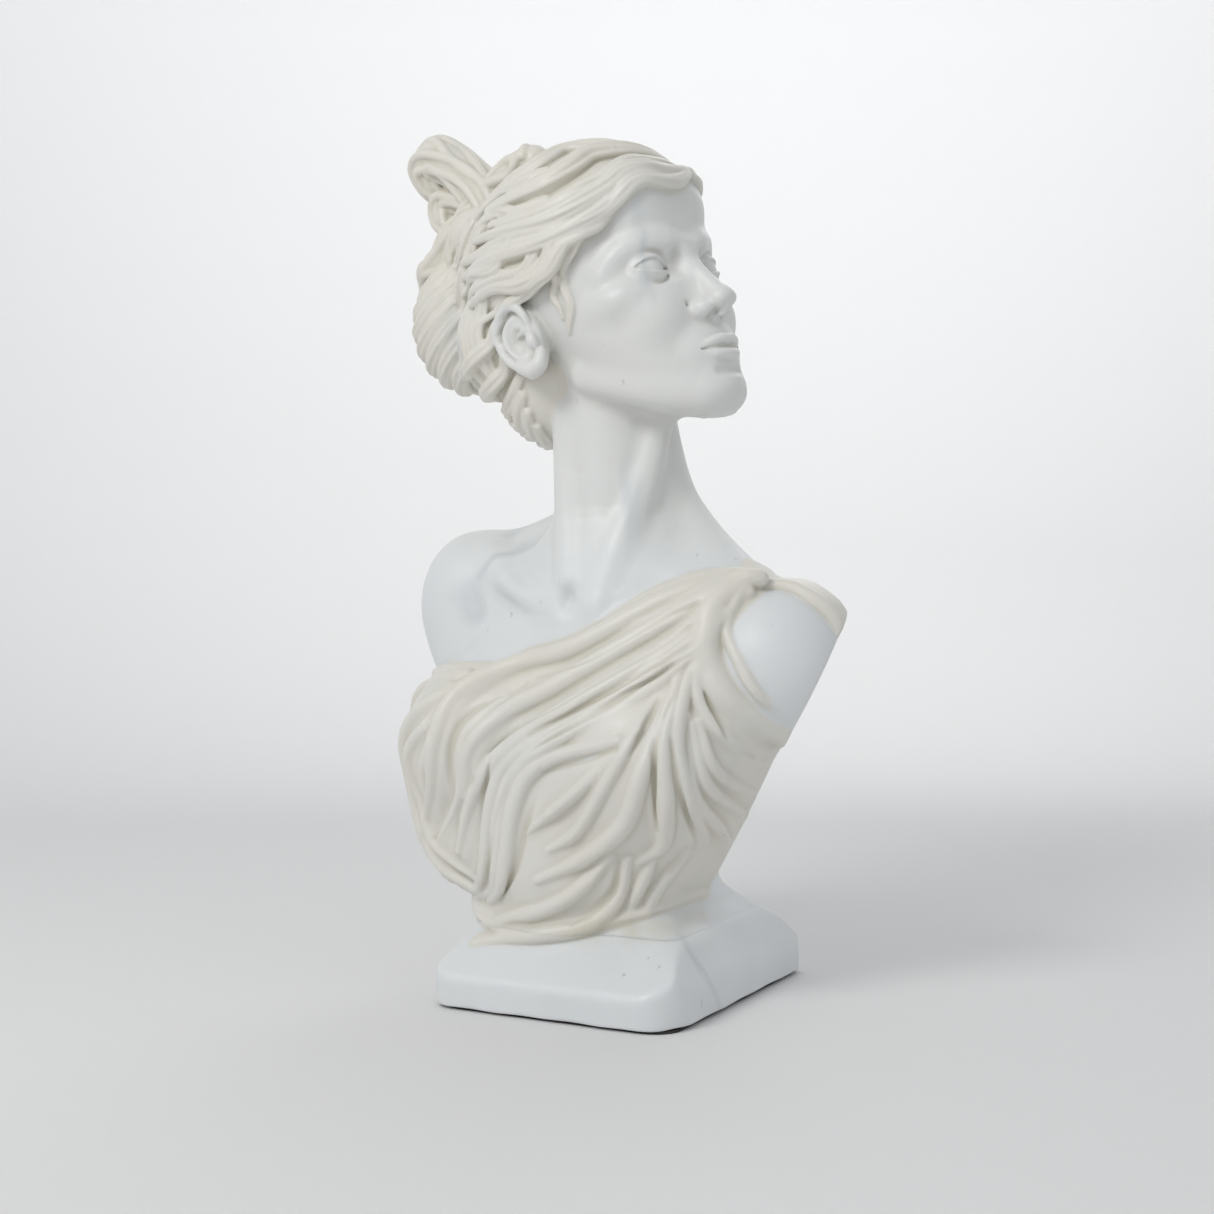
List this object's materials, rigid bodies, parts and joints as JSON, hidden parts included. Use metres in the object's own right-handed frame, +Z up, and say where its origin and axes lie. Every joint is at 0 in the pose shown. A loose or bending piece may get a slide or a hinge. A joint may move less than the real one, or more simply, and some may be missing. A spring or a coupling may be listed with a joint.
{
  "type": "marble bust",
  "caption": "Life-size carved marble bust of a woman with pinned-up wavy hair and one-shoulder drapery, pinned to its own chamfered stone socle.",
  "frame": {"origin": "centre of the underside of the socle's rubber pad, on the surface that the bust stands on", "axes": "+Z up; the chest faces -Y, 8 degrees towards -X; +X is towards her left shoulder; the face looks towards +X and a little -Y"},
  "size_m": [0.4138, 0.256, 0.693],
  "materials": {
    "marble_bust": "honed white marble, cream in the hair and folds, faint grey veins",
    "marble_socle": "honed white marble, cooler, small grey veins and specks",
    "stone_mastic": "cured cream stone adhesive, matte",
    "stainless_rod": "threaded stainless steel",
    "anchor_resin": "cured amber anchor resin",
    "stainless_washer": "turned stainless steel",
    "spring_steel": "spring steel, satin",
    "stainless_nut": "stainless steel, machined",
    "rubber_pad": "matte black anti-slip rubber"
  },
  "bodies": {
    "root": {"bust": "marble_bust", "socle": "marble_socle", "bedding_joint": "stone_mastic", "threaded_rod": "stainless_rod", "resin_sleeve": "anchor_resin", "plate_washer": "stainless_washer", "spring_washer": "spring_steel", "hex_nut": "stainless_nut", "base_pad": "rubber_pad"}
  },
  "joints": []
}
